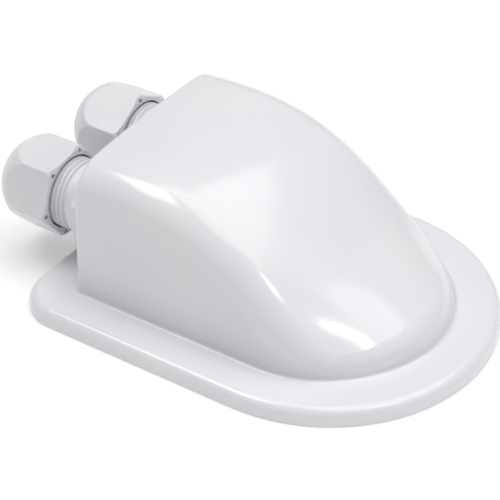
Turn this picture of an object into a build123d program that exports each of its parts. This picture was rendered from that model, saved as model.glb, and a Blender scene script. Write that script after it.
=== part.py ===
from build123d import *
import os
from math import radians, tan

# Twin cable-entry housing for a deck or a roof: a moulded hood that is bonded down over a hole,
# with two M20 cable glands side by side in its rear wall.
# Millimetres, +Z up, rounded nose towards +X, glands towards -X. The origin is the middle of the
# flange's outline, on the bonding face.

# ---- driving dimensions: the moulding ----
flange_length = 120.5
flange_width = 94.0
flange_thickness = 4.9
flange_edge_radius = 2.9
flange_corner_radius = 13.0
rear_margin = 13.9            # flange edge to the hood's rear wall
nose_margin = 12.6            # flange edge to the hood's foot, at the nose
hood_width = 70.2             # over the side walls, where they meet the flange
hood_height = 45.2
side_draft = 3.6              # degrees
shoulder_radius = 11.0
rear_edge_radius = 1.6
foot_radius = 1.0
wall = 2.8

# ---- driving dimensions: one gland, M20 x 1.5 ----
gland_spacing = 32.8
gland_height = 22.0
pitch = 1.5
thread_depth = 0.85
thread_play = 0.25            # radial, crest to root
outer_ridge_foot = 1.15       # thread ridge widths, along the axis
outer_ridge_tip = 0.3
inner_ridge_foot = 1.06
inner_ridge_tip = 0.26
inner_ridge_depth = 0.8
thread_runout = 0.9           # plain length left after each outer ridge
entry_thread_radius = 9.9
clamp_thread_radius = 10.2
entry_hole_play = 0.35        # radial, between the entry thread and its hole in the rear wall
across_flats = 24.0
corner_rounding = 0.55        # on every hexagon's upright corners
washer_thickness = 1.2
washer_radius = 13.1
collar_thickness = 3.8
clamp_thread_start = 9.3      # all heights along a gland are from the hood's rear wall, outwards
body_rim = 20.5
body_tail = -12.0
body_bore_radius = 6.6
mouth_radius = 8.35           # counterbore in the body that the claw ring slides in
mouth_floor = 11.7
nut_face = 14.2               # the dome nut's open end, as it stands, two turns on
nut_length = 19.0
nut_mouth_depth = 3.4
nut_exit_radius = 6.9
nut_mouth_radius = 10.62
nut_bore_depth = 13.6         # clears the clamp thread's end with the nut five turns further in
cone_start_radius = 8.8
cone_end_radius = 7.05
dimple_radius = 0.75          # moulding dimples in the corners of the nut's open face
dimple_circle = 11.95
dimple_depth = 1.2
dome_radius = 13.9
corner_relief = 1.8           # takes the hexagon's corners back at the open face
lock_nut_thickness = 5.0
lock_nut_flange = 1.8         # how far its round flange would stand past the flats
claw_count = 10
claw_slot = 1.1
claw_radius = 8.15
claw_bore_radius = 7.3
claw_foot_radius = 6.3
claw_tip_radius = 7.0
claw_tip_bore_radius = 6.45
seal_radius = 7.15
seal_tip_radius = 6.35
seal_bore_radius = 5.6

# ---- worked-out places ----
flange_rear_x = -flange_length / 2
rear_x = flange_rear_x + rear_margin
nose_x = flange_length / 2 - nose_margin
collar_face = washer_thickness + collar_thickness
nut_thread_start = nut_face + nut_mouth_depth

os.makedirs("parts", exist_ok=True)


def save(part, name):
    part.label = name
    export_step(part, f"parts/{name}.step")


def u_outline(rear, nose, width):
    """A rectangle with a half-round nose."""
    radius = width / 2
    with BuildSketch() as outline:
        with BuildLine():
            start = (rear, -radius)
            Line(start, (nose - radius, -radius))
            ThreePointArc((nose - radius, -radius), (nose, 0), (nose - radius, radius))
            Line((nose - radius, radius), (rear, radius))
            Line((rear, radius), start)
        make_face()
    return outline.sketch


# ---- hood ----
# Crown sections from rear to toe: place along X, height on the centre line, and doming, the drop
# per square millimetre to either side.
crown_sections = [
    (rear_x - 6, hood_height - 1.4, 0.0012),
    (-33, hood_height, 0.0013),
    (-10, hood_height - 2.6, 0.0024),
    (10, hood_height - 11.7, 0.0062),
    (30, hood_height - 24.8, 0.0125),
    (nose_x + 8, hood_height - 42.5, 0.017),
]
foot_depth = 12.0             # the form starts this far under the flange top, so the toe can round off
roof_depth = 120.0            # the roof form's floor, well under everything it is cut with


def roof_form(inset):
    """Everything under the crown: sections across the hood, near flat at the rear and domed at the toe."""
    half = hood_width
    with BuildPart() as roof:
        for x, top, doming in crown_sections:
            eaves = top - inset - doming * half**2
            with BuildSketch(Plane.YZ.offset(x - inset / 3)):
                with BuildLine():
                    Bezier((-half, eaves), (0, 2 * (top - inset) - eaves), (half, eaves))
                    Polyline((half, eaves), (half, -roof_depth), (-half, -roof_depth), (-half, eaves))
                make_face()
        loft()
    return roof.part


def hood_form(inset):
    """The hood's outside, or its inside when inset is the wall thickness."""
    flare = foot_depth * tan(radians(side_draft)) - inset
    with BuildPart() as form:
        with BuildSketch(Plane.XY.offset(flange_thickness - foot_depth)):
            add(u_outline(rear_x - 30, nose_x + flare, hood_width + 2 * flare))
        extrude(amount=foot_depth + hood_height, taper=side_draft)
        add(roof_form(inset), mode=Mode.INTERSECT)
        roof = form.faces().sort_by(Axis.Z)[-1]
        shoulder = roof.edges().filter_by(lambda e: (e @ 0.5).X > crown_sections[0][0] + 1)
        fillet(shoulder, radius=shoulder_radius - inset)
        split(bisect_by=Plane.YZ.offset(rear_x + inset), keep=Keep.TOP)
    return form.part


hood_outside = hood_form(0)
hood_inside = hood_form(wall)

with BuildPart() as flange:
    with BuildSketch():
        add(u_outline(flange_rear_x, -flange_rear_x, flange_width))
        fillet(vertices().group_by(Axis.X)[0], radius=flange_corner_radius)
    extrude(amount=flange_thickness)
    fillet(faces().sort_by(Axis.Z)[-1].edges(), radius=flange_edge_radius)

with BuildPart() as hood:
    add(hood_outside)
    rear_wall = faces().sort_by(Axis.X)[0]
    rear_edges = rear_wall.edges().filter_by(lambda e: (e @ 0.5).Z > 0)
    fillet(rear_edges, radius=rear_edge_radius)
    split(bisect_by=Plane.XY, keep=Keep.TOP)
    add(flange.part)
    foot = edges().filter_by(lambda e: abs((e @ 0.5).Z - flange_thickness) < 0.01)
    foot = foot.filter_by(lambda e: (e @ 0.5).Y ** 2 < (flange_width / 2 - flange_edge_radius - 2) ** 2)
    fillet(foot.filter_by(lambda e: (e @ 0.5).X > rear_x - 1 and (e @ 0.5).X < nose_x + 1), radius=foot_radius)
    add(hood_inside, mode=Mode.SUBTRACT)
    with Locations(Plane(origin=(rear_x, 0, gland_height), x_dir=(0, 1, 0), z_dir=(-1, 0, 0))):
        with GridLocations(gland_spacing, 0, 2, 1):
            Cylinder(entry_thread_radius + entry_hole_play, 4 * wall, mode=Mode.SUBTRACT)
save(hood.part, "hood")


# ---- glands: each piece is made along +Z, outwards from the hood's rear wall at Z = 0 ----
def ridge(foot_radius, foot_width, tip_radius, tip_width, length):
    """One continuous helical thread ridge, its foot sunk a little into the wall that carries it."""
    sink = 0.1 if tip_radius > foot_radius else -0.1
    with BuildPart() as thread:
        with BuildLine() as path:
            Helix(pitch=pitch, height=length, radius=foot_radius)
        start = path.line @ 0
        with BuildSketch(Plane(origin=start, x_dir=(1, 0, 0), z_dir=path.line % 0)):
            with BuildLine():
                rise = tip_radius - foot_radius
                Polyline(
                    (-sink, -foot_width / 2),
                    (rise, -tip_width / 2),
                    (rise, tip_width / 2),
                    (-sink, foot_width / 2),
                    close=True,
                )
            make_face()
        sweep(path=path.line, is_frenet=True)
    return thread.part


def hexagon(turn):
    with BuildSketch() as outline:
        RegularPolygon(across_flats / 2, 6, major_radius=False, rotation=turn)
        fillet(outline.vertices(), radius=corner_rounding)
    return outline.sketch


def outer_thread(crest, start, length):
    return ridge(crest - thread_depth, outer_ridge_foot, crest, outer_ridge_tip, length).moved(
        Location((0, 0, start))
    )


def inner_thread(crest, start, length):
    """The mating thread, half a pitch along from the outer thread that starts at the same height."""
    root = crest + thread_play
    return ridge(root, inner_ridge_foot, root - inner_ridge_depth, inner_ridge_tip, length).moved(
        Location((0, 0, start))
    )


# the outer threads' ridges start at these heights, the inner ones half a pitch between them
clamp_ridge = clamp_thread_start + 0.6
entry_ridge = body_tail + 1.2

with BuildPart() as body:
    with BuildSketch(Plane.XZ):
        with BuildLine():
            tail = entry_thread_radius - thread_depth
            clamp_root = clamp_thread_radius - thread_depth
            Polyline(
                (body_bore_radius, body_tail),
                (tail - 0.6, body_tail),
                (tail, body_tail + 0.6),
                (tail, -0.4),
                (entry_thread_radius, 0.2),
                (entry_thread_radius, washer_thickness),
                (across_flats / 2, washer_thickness),
                (across_flats / 2, collar_face),
                (clamp_thread_radius, collar_face),
                (clamp_thread_radius, clamp_thread_start - 0.5),
                (clamp_root, clamp_thread_start),
                (clamp_root, body_rim - 0.4),
                (clamp_root - 0.4, body_rim),
                (mouth_radius, body_rim),
                (mouth_radius, mouth_floor),
                (body_bore_radius, mouth_floor),
                close=True,
            )
        make_face()
    revolve(axis=Axis.Z)
    with BuildSketch(Plane.XY.offset(washer_thickness)):
        add(hexagon(25))
        Circle(across_flats / 2 - 1, mode=Mode.SUBTRACT)
    extrude(amount=collar_thickness)
    add(outer_thread(clamp_thread_radius, clamp_ridge, body_rim - clamp_ridge - thread_runout))
    add(outer_thread(entry_thread_radius, entry_ridge, -thread_runout - entry_ridge))

with BuildPart() as washer:
    with BuildSketch():
        Circle(washer_radius)
        Circle(entry_thread_radius + 0.2, mode=Mode.SUBTRACT)
    extrude(amount=washer_thickness)
    fillet(edges().filter_by(GeomType.CIRCLE).sort_by(SortBy.RADIUS)[-2:], radius=0.4)

with BuildPart() as lock_nut:
    lock_base = -wall - lock_nut_thickness
    with BuildSketch(Plane.XY.offset(lock_base)):
        add(hexagon(30))
    extrude(amount=lock_nut_thickness)
    with BuildSketch(Plane.XZ):
        with BuildLine():
            Polyline(
                (0, lock_base),
                (across_flats / 2 + 0.3, lock_base),
                (across_flats / 2 + lock_nut_flange, lock_base + lock_nut_flange / 2),
                (across_flats / 2 + lock_nut_flange, -wall),
                (0, -wall),
                close=True,
            )
        make_face()
    revolve(axis=Axis.Z, mode=Mode.INTERSECT)
    with Locations((0, 0, lock_base + lock_nut_thickness / 2)):
        Cylinder(entry_thread_radius + thread_play, 2 * lock_nut_thickness, mode=Mode.SUBTRACT)
    add(inner_thread(entry_thread_radius, entry_ridge + 2.5 * pitch, 3.6))

# the claw ring and the seal stand in the nut, as the nut carries them in and out
claw_base = nut_face + 5.3
claw_tip = claw_base + 12.3
cone_start = nut_face + 14.5
cone_end = nut_face + 18.0
claw_bend = claw_tip - 3.4
finger_root = claw_base + 4.5
seal_base = claw_base + 1.4

with BuildPart() as claw_ring:
    with BuildSketch(Plane.XZ):
        with BuildLine():
            Polyline(
                (claw_foot_radius, claw_base),
                (claw_radius, claw_base),
                (claw_radius, claw_bend),
                (claw_tip_radius, claw_tip),
                (claw_tip_bore_radius, claw_tip),
                (claw_bore_radius, claw_bend),
                (claw_bore_radius, seal_base),
                (claw_foot_radius, seal_base),
                close=True,
            )
        make_face()
    revolve(axis=Axis.Z)
    with BuildSketch(Plane.XY.offset(finger_root)):
        with PolarLocations(claw_bore_radius, claw_count):
            Rectangle(4, claw_slot)
    extrude(amount=claw_tip, mode=Mode.SUBTRACT)

with BuildPart() as seal:
    with BuildSketch(Plane.XZ):
        with BuildLine():
            Polyline(
                (seal_bore_radius, seal_base),
                (seal_radius, seal_base),
                (seal_radius, claw_bend),
                (seal_tip_radius, claw_tip - 0.4),
                (seal_bore_radius, claw_tip - 0.4),
                close=True,
            )
        make_face()
    revolve(axis=Axis.Z)
    fillet(edges().filter_by(GeomType.CIRCLE).sort_by(SortBy.RADIUS)[:2], radius=0.3)


def dome_nut(turn):
    """The hexagonal dome nut, its flats turned from the thread's start by an angle of its own."""
    dome_centre = nut_face + 7.7
    nut_end = nut_face + nut_length
    end_radius = (dome_radius ** 2 - (nut_end - dome_centre) ** 2) ** 0.5
    with BuildPart() as nut:
        with BuildSketch(Plane.XY.offset(nut_face)):
            add(hexagon(turn))
        extrude(amount=nut_length)
        fillet(faces().sort_by(Axis.Z)[0].edges(), radius=0.35)
        with BuildSketch(Plane.XZ):
            with BuildLine():
                Polyline(
                    (0, nut_end),
                    (0, nut_face),
                    (dome_radius - corner_relief, nut_face),
                    (dome_radius - corner_relief / 3, nut_face + corner_relief / 3),
                    (dome_radius, nut_face + corner_relief),
                    (dome_radius, dome_centre),
                )
                RadiusArc((dome_radius, dome_centre), (end_radius, nut_end), -dome_radius)
                Line((end_radius, nut_end), (0, nut_end))
            make_face()
        revolve(axis=Axis.Z, mode=Mode.INTERSECT)
        with BuildSketch(Plane.XZ):
            with BuildLine():
                thread_root = clamp_thread_radius + thread_play
                Polyline(
                    (0, nut_face - 1),
                    (nut_mouth_radius + 0.5, nut_face - 0.2),
                    (nut_mouth_radius, nut_face + 0.3),
                    (nut_mouth_radius, nut_thread_start - 0.3),
                    (thread_root, nut_thread_start),
                    (thread_root, nut_face + nut_bore_depth),
                    (cone_start_radius, cone_start),
                    (cone_end_radius, cone_end),
                    (nut_exit_radius, cone_end + 0.15),
                    (nut_exit_radius, nut_end + 1),
                    (0, nut_end + 1),
                    close=True,
                )
            make_face()
        revolve(axis=Axis.Z, mode=Mode.SUBTRACT)
        fillet(faces().sort_by(Axis.Z)[-1].edges(), radius=0.5)
        with BuildSketch(Plane.XY.offset(nut_face)):
            with PolarLocations(dimple_circle, 6, start_angle=turn):
                Circle(dimple_radius)
        extrude(amount=dimple_depth, mode=Mode.SUBTRACT)
        turns = round((nut_thread_start + 0.5 - clamp_ridge) / pitch) + 0.5
        add(inner_thread(clamp_thread_radius, clamp_ridge + turns * pitch, 4.9))
    return nut.part


pieces = {
    "gland_body": body.part,
    "wall_washer": washer.part,
    "lock_nut": lock_nut.part,
    "claw_ring": claw_ring.part,
    "cable_seal": seal.part,
}
for side, y, turn in (("left", gland_spacing / 2, 29.4), ("right", -gland_spacing / 2, 51.3)):
    gland = Plane(origin=(rear_x, y, gland_height), x_dir=(0, 1, 0), z_dir=(-1, 0, 0))
    for name, piece in pieces.items():
        save(piece.moved(Location(gland)), f"{name}_{side}")
    save(dome_nut(turn).moved(Location(gland)), f"dome_nut_{side}")
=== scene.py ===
import math

import bpy
from mathutils import Matrix, Vector


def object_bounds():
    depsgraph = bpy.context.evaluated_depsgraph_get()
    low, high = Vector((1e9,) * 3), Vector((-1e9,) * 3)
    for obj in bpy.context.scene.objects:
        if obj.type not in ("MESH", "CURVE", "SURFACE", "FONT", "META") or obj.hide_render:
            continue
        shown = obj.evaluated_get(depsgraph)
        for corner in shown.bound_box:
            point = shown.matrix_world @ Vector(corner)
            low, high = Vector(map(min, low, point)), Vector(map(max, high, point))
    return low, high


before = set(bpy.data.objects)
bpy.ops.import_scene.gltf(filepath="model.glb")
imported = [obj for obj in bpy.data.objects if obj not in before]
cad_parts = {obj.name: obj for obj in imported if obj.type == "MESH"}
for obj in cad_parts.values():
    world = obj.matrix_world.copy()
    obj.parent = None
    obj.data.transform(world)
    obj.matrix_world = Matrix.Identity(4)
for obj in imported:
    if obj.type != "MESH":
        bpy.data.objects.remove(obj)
cad_low, cad_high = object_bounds()

MM = 0.001

# --- colours, linear RGB --------------------------------------------------------------------

ABS_LIGHT, ABS_DARK = (0.795, 0.795, 0.812), (0.765, 0.766, 0.788)
ABS_WORN_EDGE = (0.82, 0.82, 0.83)
DUST = (0.40, 0.39, 0.38)
NYLON_LIGHT, NYLON_DARK = (0.765, 0.76, 0.78), (0.73, 0.727, 0.75)
CLAW_LIGHT, CLAW_DARK = (0.62, 0.62, 0.63), (0.56, 0.56, 0.57)
RUBBED_GAIN = (1.07, 1.07, 1.06)
RUBBER_CLEAN, RUBBER_BLOOM = (0.37, 0.37, 0.38), (0.47, 0.47, 0.47)
FLOOR_DARK, FLOOR_LIGHT = (0.84, 0.84, 0.845), (0.87, 0.87, 0.87)
WORLD_LIGHT = (0.97, 0.98, 1.0)
WHITE = (1.0, 1.0, 1.0)

PLASTIC_IOR, RUBBER_IOR = 1.53, 1.5

# --- node helpers ---------------------------------------------------------------------------

# the Mix node's sockets when it mixes colours
MIX_FACTOR, MIX_A, MIX_B, MIX_RESULT = 0, 6, 7, 2

# cosine between a rounded normal and the face's own: flat face, and fully worn edge
FLAT_COSINE, WORN_COSINE = 0.995, 0.90


def rgba(colour):
    return (*colour, 1.0)


class Look:
    """One material, with short calls for the nodes that the finishes share.

    Patterns lie in object space, so a scale counts features per metre.
    """

    def __init__(self, name):
        self.material = bpy.data.materials.new(name)
        self.material.use_nodes = True
        self.tree = self.material.node_tree
        self.shader = self.tree.nodes["Principled BSDF"]
        self.place = self.node("TexCoord").outputs["Object"]

    def node(self, kind):
        return self.tree.nodes.new("ShaderNode" + kind)

    def put(self, value, socket):
        """Links a node's output to a socket, or sets the socket's own value."""
        if isinstance(value, bpy.types.NodeSocket):
            self.tree.links.new(value, socket)
        else:
            socket.default_value = value

    def shade(self, socket, value):
        self.put(value, self.shader.inputs[socket])

    def noise(self, scale, detail, roughness, place=None):
        node = self.node("TexNoise")
        self.put(scale, node.inputs["Scale"])
        self.put(detail, node.inputs["Detail"])
        self.put(roughness, node.inputs["Roughness"])
        self.put(self.place if place is None else place, node.inputs["Vector"])
        return node.outputs["Fac"]

    def spread(self, value, low, high, to_low=0.0, to_high=1.0):
        """Maps value from low..high to to_low..to_high, held at the ends."""
        node = self.node("MapRange")
        self.put(value, node.inputs["Value"])
        self.put(low, node.inputs["From Min"])
        self.put(high, node.inputs["From Max"])
        self.put(to_low, node.inputs["To Min"])
        self.put(to_high, node.inputs["To Max"])
        return node.outputs["Result"]

    def maths(self, operation, a, b):
        node = self.node("Math")
        node.operation = operation
        self.put(a, node.inputs[0])
        self.put(b, node.inputs[1])
        return node.outputs["Value"]

    def scaled(self, value, factor):
        return self.maths("MULTIPLY", value, factor)

    def blend(self, factor, a, b):
        node = self.node("Mix")
        node.data_type = "RGBA"
        self.put(factor, node.inputs[MIX_FACTOR])
        self.put(a, node.inputs[MIX_A])
        self.put(b, node.inputs[MIX_B])
        return node.outputs[MIX_RESULT]

    def edges(self, radius):
        """1 on sharp edges, 0 on smooth faces: how far the rounded normal turns from the face's."""
        bevel = self.node("Bevel")
        bevel.samples = 4
        self.put(radius, bevel.inputs["Radius"])
        dot = self.node("VectorMath")
        dot.operation = "DOT_PRODUCT"
        self.put(bevel.outputs["Normal"], dot.inputs[0])
        self.put(self.node("NewGeometry").outputs["Normal"], dot.inputs[1])
        return self.spread(dot.outputs["Value"], FLAT_COSINE, WORN_COSINE)

    def bump(self, height, strength, depth, before=None):
        node = self.node("Bump")
        self.put(height, node.inputs["Height"])
        self.put(strength, node.inputs["Strength"])
        self.put(depth, node.inputs["Distance"])
        if before is not None:
            self.put(before, node.inputs["Normal"])
        return node.outputs["Normal"]

    def scatter_light(self, weight, radius, scale):
        self.shade("Subsurface Weight", weight)
        self.shade("Subsurface Radius", radius)
        self.shade("Subsurface Scale", scale)


# --- materials ------------------------------------------------------------------------------


def rub_marks(look):
    """1 in long fine streaks that run across the hood, 0 between them."""
    stretch = look.node("Mapping")
    look.put(look.place, stretch.inputs["Vector"])
    look.put((0.2, 0.1, 0.55), stretch.inputs["Rotation"])
    look.put((34.0, 420.0, 210.0), stretch.inputs["Scale"])
    streaks = look.noise(3.0, 3.0, 0.6, place=stretch.outputs["Vector"])
    return look.spread(streaks, 0.56, 0.74)


def dust_specks(look):
    """1 in the middle of a few cells of a Voronoi pattern, 0 elsewhere."""
    cells = look.node("TexVoronoi")
    look.put(look.place, cells.inputs["Vector"])
    look.put(130.0, cells.inputs["Scale"])
    look.put(1.0, cells.inputs["Randomness"])
    chance = look.node("SeparateColor")
    look.put(cells.outputs["Color"], chance.inputs["Color"])
    near = look.spread(cells.outputs["Distance"], 0.030, 0.060, 1.0, 0.0)
    few = look.spread(chance.outputs["Red"], 0.955, 0.965)
    return look.maths("MULTIPLY", near, few)


def polished_abs():
    """White ABS from a polished mould: faint orange peel, waviness, fine rub marks, dust."""
    look = Look("white_abs_polished")
    mottle = look.noise(scale=24.0, detail=3.0, roughness=0.55)
    peel = look.noise(scale=620.0, detail=2.0, roughness=0.5)
    wave = look.noise(scale=46.0, detail=1.0, roughness=0.4)
    smear = look.noise(scale=95.0, detail=4.0, roughness=0.7)
    edge = look.edges(radius=0.7 * MM)
    rubs = rub_marks(look)
    specks = dust_specks(look)

    edge_lightens, speck_darkens = 0.5, 0.55
    colour = look.blend(look.spread(mottle, 0.35, 0.65), rgba(ABS_LIGHT), rgba(ABS_DARK))
    colour = look.blend(look.scaled(edge, edge_lightens), colour, rgba(ABS_WORN_EDGE))
    colour = look.blend(look.scaled(specks, speck_darkens), colour, rgba(DUST))
    look.shade("Base Color", colour)

    rubs_dull, edge_dulls, speck_dulls = 0.05, 0.10, 0.4
    rough = look.spread(smear, 0.3, 0.7, to_low=0.13, to_high=0.19)
    for mask, amount in ((rubs, rubs_dull), (edge, edge_dulls), (specks, speck_dulls)):
        rough = look.maths("ADD", rough, look.scaled(mask, amount))
    look.shade("Roughness", rough)

    waves = look.bump(wave, strength=0.10, depth=0.25 * MM)
    look.shade("Normal", look.bump(peel, strength=0.05, depth=0.02 * MM, before=waves))
    look.shade("IOR", PLASTIC_IOR)
    look.shade("Specular IOR Level", 0.5)
    look.scatter_light(weight=0.06, radius=(1.0, 1.0, 0.95), scale=1.6 * MM)
    return look.material


def satin_nylon(name, light, dark, smoothest, roughest, grain, waxy):
    """Moulded nylon: satin, a fine sparked grain, faint flow marks, lighter rubbed edges."""
    look = Look(name)
    mottle = look.noise(scale=70.0, detail=3.0, roughness=0.6)
    spark = look.noise(scale=grain, detail=2.0, roughness=0.6)
    flow = look.noise(scale=150.0, detail=2.0, roughness=0.5)
    edge = look.edges(radius=0.35 * MM)

    edge_lightens, edge_polishes = 0.7, 0.08
    rubbed = [channel * gain for channel, gain in zip(light, RUBBED_GAIN)]
    colour = look.blend(look.spread(mottle, 0.35, 0.65), rgba(light), rgba(dark))
    look.shade("Base Color", look.blend(look.scaled(edge, edge_lightens), colour, rgba(rubbed)))
    rough = look.spread(flow, 0.3, 0.7, to_low=smoothest, to_high=roughest)
    look.shade("Roughness", look.maths("SUBTRACT", rough, look.scaled(edge, edge_polishes)))

    flows = look.bump(flow, strength=0.12, depth=0.12 * MM)
    look.shade("Normal", look.bump(spark, strength=0.22, depth=0.03 * MM, before=flows))
    look.shade("IOR", PLASTIC_IOR)
    look.scatter_light(weight=waxy, radius=(1.0, 0.97, 0.9), scale=1.2 * MM)
    return look.material


def grey_rubber():
    """Light grey elastomer: matt, a powdery bloom in patches, fine pitting."""
    look = Look("seal_rubber_matt")
    bloom = look.noise(scale=110.0, detail=5.0, roughness=0.65)
    pits = look.noise(scale=1500.0, detail=3.0, roughness=0.6)
    edge = look.edges(radius=0.3 * MM)

    edge_polishes = 0.12
    colour = look.blend(look.spread(bloom, 0.35, 0.7), rgba(RUBBER_CLEAN), rgba(RUBBER_BLOOM))
    look.shade("Base Color", colour)
    rough = look.spread(bloom, 0.3, 0.7, to_low=0.58, to_high=0.78)
    look.shade("Roughness", look.maths("SUBTRACT", rough, look.scaled(edge, edge_polishes)))
    look.shade("Normal", look.bump(pits, strength=0.35, depth=0.04 * MM))
    look.shade("IOR", RUBBER_IOR)
    look.shade("Sheen Weight", 0.08)
    return look.material


nylon = satin_nylon("white_nylon_satin", NYLON_LIGHT, NYLON_DARK,
                    smoothest=0.30, roughest=0.42, grain=1980.0, waxy=0.10)
claw_nylon = satin_nylon("claw_nylon_satin", CLAW_LIGHT, CLAW_DARK,
                         smoothest=0.38, roughest=0.5, grain=2420.0, waxy=0.12)
rubber = grey_rubber()
finishes = {
    "hood": polished_abs(),
    "gland_body": nylon,
    "lock_nut": nylon,
    "dome_nut": nylon,
    "claw_ring": claw_nylon,
    "cable_seal": rubber,
    "wall_washer": rubber,
}

for name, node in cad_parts.items():
    kind = name.replace("_left", "").replace("_right", "")
    if not node.material_slots:
        node.data.materials.append(finishes[kind])
    for slot in node.material_slots:
        slot.material = finishes[kind]

# --- floor ----------------------------------------------------------------------------------

FLOOR_HALF_WIDTH = 4.0
FLOOR_GAP = 0.02 * MM
FLOOR_GLOW = 0.20


def floor_material():
    """Pale studio sweep: near white, faint paper tooth, lifted a little so that it reads white."""
    look = Look("studio_sweep")
    tooth = look.noise(scale=340.0, detail=3.0, roughness=0.6)
    look.shade("Base Color", look.blend(tooth, rgba(FLOOR_DARK), rgba(FLOOR_LIGHT)))
    look.shade("Roughness", look.spread(tooth, 0.3, 0.7, to_low=0.75, to_high=0.9))
    look.shade("Specular IOR Level", 0.1)
    look.shade("Emission Color", rgba(WHITE))
    look.shade("Emission Strength", FLOOR_GLOW)
    return look.material


def sweep():
    """A flat square floor, just under the part."""
    half, low = FLOOR_HALF_WIDTH, cad_low.z - FLOOR_GAP
    corners = [(-half, -half, low), (half, -half, low), (half, half, low), (-half, half, low)]
    mesh = bpy.data.meshes.new("studio_floor")
    mesh.from_pydata(corners, [], [(0, 1, 2, 3)])
    floor = bpy.data.objects.new("studio_floor", mesh)
    bpy.context.collection.objects.link(floor)
    mesh.materials.append(floor_material())


sweep()

# --- light ----------------------------------------------------------------------------------

WORLD_STRENGTH = 0.28

middle = (cad_low + cad_high) / 2
toe = Vector((34, -18, 13)) * MM


def towards(azimuth, elevation):
    """Unit vector out from a target: azimuth 0 is -Y and 90 is +X, elevation is above the floor."""
    a, e = math.radians(azimuth), math.radians(elevation)
    return Vector((math.sin(a) * math.cos(e), -math.cos(a) * math.cos(e), math.sin(e)))


def softbox(name, azimuth, elevation, distance, width, height, watts, aim=middle):
    """A rectangular area lamp that looks at aim; sizes and distance are in metres."""
    data = bpy.data.lights.new(name, "AREA")
    data.shape = "RECTANGLE"
    data.size = width
    data.size_y = height
    data.energy = watts
    box = bpy.data.objects.new(name, data)
    ray = towards(azimuth, elevation)
    box.location = aim + distance * ray
    box.rotation_mode = "QUATERNION"
    box.rotation_quaternion = (-ray).to_track_quat("-Z", "Y")
    box.visible_camera = False
    bpy.context.collection.objects.link(box)


softbox("overhead", 142, 74, distance=1.3, width=1.3, height=1.0, watts=9.8)
softbox("key_left", -66, 66, distance=0.95, width=0.42, height=0.36, watts=2.7)
softbox("fill_left", -42, 40, distance=1.5, width=1.6, height=1.2, watts=0.6)
softbox("fill_right", 98, 40, distance=1.4, width=1.1, height=0.9, watts=1.4)
softbox("low_right", 73, 2, distance=0.9, width=0.60, height=0.05, watts=0.30)
# a small lamp close to the nose, for the photo's one crisp highlight there
softbox("toe_lamp", 80, 56, distance=0.13, width=0.011, height=0.022, watts=0.013, aim=toe)

world = bpy.data.worlds.new("studio")
bpy.context.scene.world = world
world.use_nodes = True
background = world.node_tree.nodes["Background"]
background.inputs["Color"].default_value = rgba(WORLD_LIGHT)
background.inputs["Strength"].default_value = WORLD_STRENGTH
bpy.context.scene.view_settings.view_transform = "Standard"

# --- camera, at the photo's viewing angle ---------------------------------------------------

AZIMUTH, ELEVATION, ROLL = 34.741, 37.072, -1.2095
DISTANCE = 543.53 * MM
TARGET = Vector((-12.356, 0.0, 10.714)) * MM
LENS_MM, SENSOR_MM = 141.60096, 36.0
NEAREST, FARTHEST = 0.01, 50.0

heading, turn = math.radians(AZIMUTH), math.radians(ROLL)
back = towards(AZIMUTH, ELEVATION)
level = Vector((math.cos(heading), math.sin(heading), 0.0))
upright = back.cross(level)
across = math.cos(turn) * level + math.sin(turn) * upright
above = math.cos(turn) * upright - math.sin(turn) * level
spot = TARGET + DISTANCE * back
rows = [(across[i], above[i], back[i], spot[i]) for i in range(3)]

camera_data = bpy.data.cameras.new("camera")
camera_data.sensor_width = SENSOR_MM
camera_data.lens = LENS_MM
camera_data.clip_start = NEAREST
camera_data.clip_end = FARTHEST
camera = bpy.data.objects.new("camera", camera_data)
bpy.context.collection.objects.link(camera)
camera.matrix_world = Matrix(rows + [(0, 0, 0, 1)])
bpy.context.scene.camera = camera
